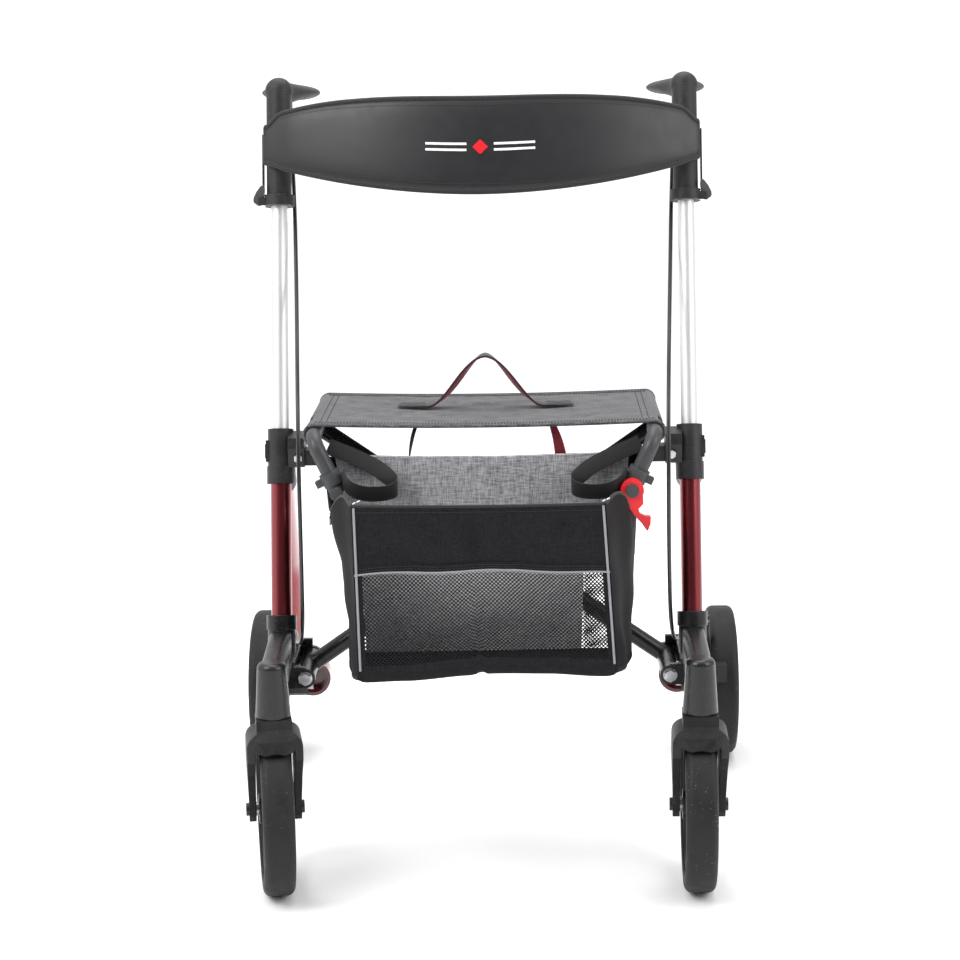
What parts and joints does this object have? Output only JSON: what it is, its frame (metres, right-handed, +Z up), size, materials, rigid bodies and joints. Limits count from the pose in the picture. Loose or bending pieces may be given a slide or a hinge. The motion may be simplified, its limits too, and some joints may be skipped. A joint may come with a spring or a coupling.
{
  "type": "rollator walker",
  "caption": "Folding four-wheeled rollator walker with leaning uprights, swivel casters, seat, bag and backrest band.",
  "frame": {"origin": "on the floor, under the middle of the walker's box", "axes": "+Z up, -Y the way the walker travels, +X to the right of someone facing its front"},
  "size_m": [0.65, 0.7083, 0.9209],
  "materials": {
    "red_anodised": "anodised, satin",
    "silver_anodised": "anodised, satin",
    "black_plastic": "moulded, fine texture",
    "dark_plastic": "moulded",
    "black_casting": "powder coated, satin",
    "gray_casting": "glass-filled nylon, fine texture",
    "bearing_steel": "ground",
    "zinc_steel": "zinc plated",
    "red_gloss": "gloss lacquer",
    "cable_sheath": "extruded sheath",
    "black_rubber": "soft touch",
    "gray_plastic": "moulded",
    "padded_fabric": "padded coated fabric, bound edge",
    "tyre_rubber": "solid tyre with moulding specks",
    "rim_plastic": "moulded",
    "gray_tube": "powder coated, satin",
    "black_tube": "powder coated, satin",
    "seat_cloth": "woven, dark gray melange",
    "webbing": "woven webbing",
    "red_plastic": "moulded",
    "bag_nylon": "nylon with mesh front"
  },
  "bodies": {
    "left_frame": {"left_lower_tube": "red_anodised", "left_height_collar": "black_plastic", "left_front_head": "black_casting", "left_stem_bearings": "bearing_steel", "left_rear_leg": "red_anodised", "left_rear_bracket": "black_casting", "left_rear_axle": "zinc_steel", "left_kerb_pedal": "red_gloss", "left_side_bolts": "zinc_steel", "left_brake_cable": "cable_sheath"},
    "right_frame": {"right_lower_tube": "red_anodised", "right_height_collar": "black_plastic", "right_front_head": "black_casting", "right_stem_bearings": "bearing_steel", "right_rear_leg": "red_anodised", "right_rear_bracket": "black_casting", "right_rear_axle": "zinc_steel", "right_kerb_pedal": "red_gloss", "right_side_bolts": "zinc_steel", "right_brake_cable": "cable_sheath"},
    "cross_a": {"cross_tube_a": "black_tube", "cross_bolt": "zinc_steel", "right_seat_rail": "gray_tube", "right_rail_clamp": "gray_plastic"},
    "cross_b": {"cross_tube_b": "black_tube", "left_seat_rail": "gray_tube", "left_rail_clamp": "gray_plastic"},
    "seat_left": {"left_seat_fabric": "seat_cloth"},
    "seat_right": {"right_seat_fabric": "seat_cloth"},
    "strap_left": {"left_fold_strap": "webbing"},
    "strap_right": {"right_fold_strap": "webbing"},
    "bag": {"bag": "bag_nylon", "bag_straps": "webbing"},
    "fold_hook": {"fold_hook": "red_plastic"},
    "left_handle": {"left_upper_tube": "silver_anodised", "left_grip": "black_rubber"},
    "left_backrest": {"left_backrest": "padded_fabric"},
    "left_brake_lever": {"left_brake_lever": "black_casting"},
    "left_brake_arm": {"left_brake_shoe": "dark_plastic"},
    "left_clamp_lever": {"left_clamp_lever": "gray_plastic"},
    "left_height_button": {"left_height_button": "dark_plastic"},
    "left_caster": {"left_caster_fork": "gray_casting", "left_front_axle": "zinc_steel"},
    "left_front_wheel": {"left_front_tyre": "tyre_rubber", "left_front_rim": "rim_plastic"},
    "left_rear_wheel": {"left_rear_tyre": "tyre_rubber", "left_rear_rim": "rim_plastic"},
    "right_handle": {"right_upper_tube": "silver_anodised", "right_grip": "black_rubber"},
    "right_backrest": {"right_backrest": "padded_fabric"},
    "right_brake_lever": {"right_brake_lever": "black_casting"},
    "right_brake_arm": {"right_brake_shoe": "dark_plastic"},
    "right_clamp_lever": {"right_clamp_lever": "gray_plastic"},
    "right_height_button": {"right_height_button": "dark_plastic"},
    "right_caster": {"right_caster_fork": "gray_casting", "right_front_axle": "zinc_steel"},
    "right_front_wheel": {"right_front_tyre": "tyre_rubber", "right_front_rim": "rim_plastic"},
    "right_rear_wheel": {"right_rear_tyre": "tyre_rubber", "right_rear_rim": "rim_plastic"}
  },
  "joints": [
    {"name": "fold", "type": "hinge", "parent": "left_frame", "child": "cross_a", "pos_m": [-0.212, -0.134, 0.235], "axis": [0, -1, 0], "range_deg": [0, 44]},
    {"name": "cross_scissor", "type": "hinge", "parent": "cross_a", "child": "cross_b", "pos_m": [0, -0.12, 0.38205], "axis": [0, -1, 0], "range_deg": [-88, 0]},
    {"name": "right_frame_pivot", "type": "hinge", "parent": "cross_b", "child": "right_frame", "pos_m": [0.212, -0.106, 0.235], "axis": [0, -1, 0], "range_deg": [0, 44]},
    {"name": "seat_left_lift", "type": "hinge", "parent": "cross_b", "child": "seat_left", "pos_m": [-0.196, -0.065, 0.518], "axis": [0, -1, 0], "range_deg": [0, 120.12]},
    {"name": "seat_right_lift", "type": "hinge", "parent": "cross_a", "child": "seat_right", "pos_m": [0.196, -0.065, 0.518], "axis": [0, -1, 0], "range_deg": [-120.12, 0]},
    {"name": "strap_left_bend", "type": "hinge", "parent": "seat_left", "child": "strap_left", "pos_m": [-0.086, -0.04, 0.5315], "axis": [0, -1, 0], "range_deg": [-36.52, 0]},
    {"name": "strap_right_bend", "type": "hinge", "parent": "seat_right", "child": "strap_right", "pos_m": [0.086, -0.04, 0.5315], "axis": [0, -1, 0], "range_deg": [0, 36.52]},
    {"name": "bag_fold", "type": "hinge", "parent": "cross_b", "child": "bag", "pos_m": [-0.196, -0.15, 0.518], "axis": [0, -1, 0], "range_deg": [0, 44], "deforming": ["bag", "bag_straps"]},
    {"name": "fold_hook_turn", "type": "hinge", "parent": "cross_a", "child": "fold_hook", "pos_m": [0.168, -0.206, 0.458], "axis": [0, -1, 0], "range_deg": [-30, 60]},
    {"name": "left_height", "type": "slide", "parent": "left_frame", "child": "left_handle", "axis": [0, 0.247, 0.969], "range_m": [-0.1, 0.015], "deforming": ["left_brake_cable"]},
    {"name": "left_backrest_swing", "type": "hinge", "parent": "left_handle", "child": "left_backrest", "pos_m": [-0.238, -0.04582, 0.84], "axis": [0, 0.247, 0.969], "range_deg": [-53.68, 0]},
    {"name": "left_brake_squeeze", "type": "hinge", "parent": "left_handle", "child": "left_brake_lever", "pos_m": [-0.238, -0.006, 0.882], "axis": [1, 0, 0], "range_deg": [0, 12], "stiffness_Nm_per_rad": 0.6},
    {"name": "left_brake_press", "type": "hinge", "parent": "left_frame", "child": "left_brake_arm", "pos_m": [-0.284, 0.195, 0.146], "axis": [1, 0, 0], "range_deg": [0, 4]},
    {"name": "left_clamp_open", "type": "hinge", "parent": "left_handle", "child": "left_clamp_lever", "pos_m": [-0.2585, -0.06137, 0.779], "axis": [0, -1, 0], "range_deg": [0, 90]},
    {"name": "left_button_press", "type": "slide", "parent": "left_frame", "child": "left_height_button", "axis": [1, 0, 0], "range_m": [0, 0.0024], "stiffness_N_per_m": 800},
    {"name": "left_caster_swivel", "type": "hinge", "parent": "left_frame", "child": "left_caster", "pos_m": [-0.24, -0.2837, 0.245], "axis": [0, 0, 1], "continuous": true},
    {"name": "left_front_spin", "type": "hinge", "parent": "left_caster", "child": "left_front_wheel", "pos_m": [-0.24469, -0.25407, 0.1], "axis": [0.9877, 0.1564, 0], "continuous": true},
    {"name": "left_rear_spin", "type": "hinge", "parent": "left_frame", "child": "left_rear_wheel", "pos_m": [-0.307, 0.254, 0.1], "axis": [1, 0, 0], "continuous": true},
    {"name": "right_height", "type": "slide", "parent": "right_frame", "child": "right_handle", "axis": [0, 0.247, 0.969], "range_m": [-0.1, 0.015], "deforming": ["right_brake_cable"]},
    {"name": "right_backrest_swing", "type": "hinge", "parent": "right_handle", "child": "right_backrest", "pos_m": [0.238, -0.04582, 0.84], "axis": [0, 0.247, 0.969], "range_deg": [0, 53.68]},
    {"name": "right_brake_squeeze", "type": "hinge", "parent": "right_handle", "child": "right_brake_lever", "pos_m": [0.238, -0.006, 0.882], "axis": [1, 0, 0], "range_deg": [0, 12], "stiffness_Nm_per_rad": 0.6},
    {"name": "right_brake_press", "type": "hinge", "parent": "right_frame", "child": "right_brake_arm", "pos_m": [0.284, 0.195, 0.146], "axis": [1, 0, 0], "range_deg": [0, 4]},
    {"name": "right_clamp_open", "type": "hinge", "parent": "right_handle", "child": "right_clamp_lever", "pos_m": [0.2585, -0.06137, 0.779], "axis": [0, 1, 0], "range_deg": [0, 90]},
    {"name": "right_button_press", "type": "slide", "parent": "right_frame", "child": "right_height_button", "axis": [-1, 0, 0], "range_m": [0, 0.0024], "stiffness_N_per_m": 800},
    {"name": "right_caster_swivel", "type": "hinge", "parent": "right_frame", "child": "right_caster", "pos_m": [0.24, -0.2837, 0.245], "axis": [0, 0, 1], "continuous": true},
    {"name": "right_front_spin", "type": "hinge", "parent": "right_caster", "child": "right_front_wheel", "pos_m": [0.24084, -0.25371, 0.1], "axis": [0.9996, -0.0279, 0], "continuous": true},
    {"name": "right_rear_spin", "type": "hinge", "parent": "right_frame", "child": "right_rear_wheel", "pos_m": [0.307, 0.254, 0.1], "axis": [1, 0, 0], "continuous": true}
  ],
  "couplings": [
    {"joint": "cross_scissor", "follows": "fold", "ratio": -2},
    {"joint": "right_frame_pivot", "follows": "fold", "ratio": 1},
    {"joint": "seat_left_lift", "follows": "fold", "ratio": 2.73},
    {"joint": "seat_right_lift", "follows": "fold", "ratio": -2.73},
    {"joint": "strap_left_bend", "follows": "fold", "ratio": -0.83},
    {"joint": "strap_right_bend", "follows": "fold", "ratio": 0.83},
    {"joint": "bag_fold", "follows": "fold", "ratio": 1},
    {"joint": "left_backrest_swing", "follows": "fold", "ratio": -1.22},
    {"joint": "left_brake_press", "follows": "left_brake_squeeze", "ratio": 0.3333},
    {"joint": "right_height", "follows": "left_height", "ratio": 1},
    {"joint": "right_backrest_swing", "follows": "fold", "ratio": 1.22},
    {"joint": "right_brake_press", "follows": "right_brake_squeeze", "ratio": 0.3333}
  ]
}
